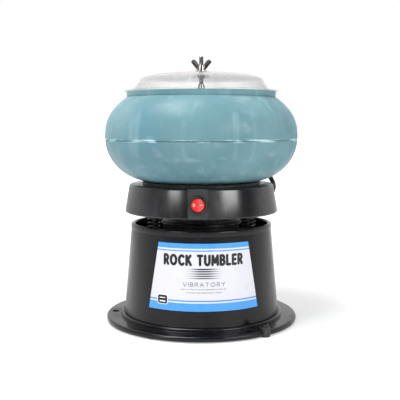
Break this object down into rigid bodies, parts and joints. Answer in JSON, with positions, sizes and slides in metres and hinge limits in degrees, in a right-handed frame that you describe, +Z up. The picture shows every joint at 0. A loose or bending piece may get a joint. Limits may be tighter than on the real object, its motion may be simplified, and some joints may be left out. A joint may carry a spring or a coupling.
{
  "type": "vibratory rock tumbler",
  "caption": "Vibratory rock tumbler: ring-shaped bowl with a clear lid, held by a wing nut on a centre stud over a spring-mounted motor unit and a conical base.",
  "frame": {"origin": "on the floor, on the vertical axis shared by base, motor, bowl and stud", "axes": "+Z up along the stud; -Y is the front, with the switch and the label; +X is the machine's right seen from the front"},
  "size_m": [0.253, 0.323, 0.344],
  "materials": {
    "housing_black": "moulded, semi-gloss, lightly scuffed",
    "rubber_black": "matt",
    "cord_black": "smooth satin PVC",
    "plated_steel": "zinc plated",
    "stud_steel": "dark nickel plated",
    "sheet_steel": "rolled and zinc plated",
    "spring_steel": "oil-tempered wire",
    "label_print": "printed vinyl, satin",
    "switch_black": "fine moulded grain",
    "switch_red": "gloss",
    "motor_cast": "die cast",
    "motor_shell_paint": "satin black enamel",
    "lamination": "stacked punched laminations",
    "copper": "varnished copper wire",
    "rotor_bars": "cast",
    "fan_plastic": "moulded nylon",
    "weight_steel": "sintered, oiled",
    "bowl_teal": "satin moulded polyurethane, mottled",
    "lid_clear": "clear thin plastic",
    "plug_blade": "nickel plated"
  },
  "bodies": {
    "base": {"base_housing": "housing_black", "rubber_feet": "rubber_black", "edge_bumper": "rubber_black", "edge_bumper_screw": "plated_steel", "base_label": "label_print", "spring_shelf": "sheet_steel", "shelf_screws": "plated_steel", "lower_spring_cups": "rubber_black", "power_cord": "cord_black", "cord_plug": "cord_black", "plug_blades": "plug_blade"},
    "springs": {"isolator_springs": "spring_steel"},
    "spring_cups": {"upper_spring_cups": "rubber_black"},
    "drive_unit": {"drive_housing": "housing_black", "motor_plate": "sheet_steel", "motor_plate_screws": "plated_steel", "switch_body": "switch_black", "switch_leads": "cord_black", "cord_strain_relief": "switch_black", "motor_shell": "motor_shell_paint", "motor_top_bell": "motor_cast", "motor_bottom_bell": "motor_cast", "motor_through_bolts": "plated_steel", "motor_mount_screws": "plated_steel", "stator_core": "lamination", "stator_windings": "copper", "motor_bearings": "plated_steel", "bowl_seat": "rubber_black", "seat_screws": "plated_steel", "centre_stud": "stud_steel", "stud_lock_nut": "plated_steel"},
    "rotor": {"motor_shaft": "plated_steel", "rotor_core": "rotor_bars", "cooling_fan": "fan_plastic", "upper_weight": "weight_steel", "lower_weight": "weight_steel", "weight_set_screws": "plated_steel", "shaft_snap_rings": "spring_steel"},
    "rocker": {"switch_rocker": "switch_red"},
    "bowl_unit": {"bowl": "bowl_teal", "bowl_washer": "plated_steel", "bowl_nut": "stud_steel"},
    "lid_unit": {"lid": "lid_clear"},
    "wing_washer_unit": {"wing_washer": "plated_steel"},
    "wing_nut_unit": {"wing_nut": "stud_steel"}
  },
  "joints": [
    {"name": "bounce", "type": "slide", "parent": "base", "child": "springs", "axis": [0, 0, 1], "range_m": [-0.004, 0.003], "stiffness_N_per_m": 12000, "springref_m": 0.003, "deforming": ["isolator_springs", "power_cord"]},
    {"name": "rock_x", "type": "hinge", "parent": "springs", "child": "spring_cups", "pos_m": [0, 0, 0.1475], "axis": [1, 0, 0], "range_deg": [-2, 2], "stiffness_Nm_per_rad": 60},
    {"name": "rock_y", "type": "hinge", "parent": "spring_cups", "child": "drive_unit", "pos_m": [0, 0, 0.1475], "axis": [0, 1, 0], "range_deg": [-2, 2], "stiffness_Nm_per_rad": 90, "deforming": ["upper_spring_cups"]},
    {"name": "rotor_spin", "type": "hinge", "parent": "drive_unit", "child": "rotor", "pos_m": [0, 0, 0.111], "axis": [0, 0, 1], "continuous": true},
    {"name": "switch_rock", "type": "hinge", "parent": "drive_unit", "child": "rocker", "pos_m": [-0.00381, -0.09495, 0.15708], "axis": [0.0064, 0.1603, 0.987], "range_deg": [0, 20]},
    {"name": "bowl_lift", "type": "slide", "parent": "drive_unit", "child": "bowl_unit", "axis": [0, 0, 1], "range_m": [0, 0.165]},
    {"name": "lid_lift", "type": "slide", "parent": "bowl_unit", "child": "lid_unit", "axis": [0, 0, 1], "range_m": [0, 0.06]},
    {"name": "wing_nut_travel", "type": "slide", "parent": "lid_unit", "child": "wing_washer_unit", "axis": [0, 0, 1], "range_m": [0, 0.01778]},
    {"name": "wing_nut_spin", "type": "hinge", "parent": "wing_washer_unit", "child": "wing_nut_unit", "pos_m": [0, 0, 0.333], "axis": [0, 0, 1], "range_deg": [0, 5041]}
  ],
  "couplings": [
    {"joint": "wing_nut_spin", "follows": "wing_nut_travel", "rad_per_m": 4947.4}
  ]
}
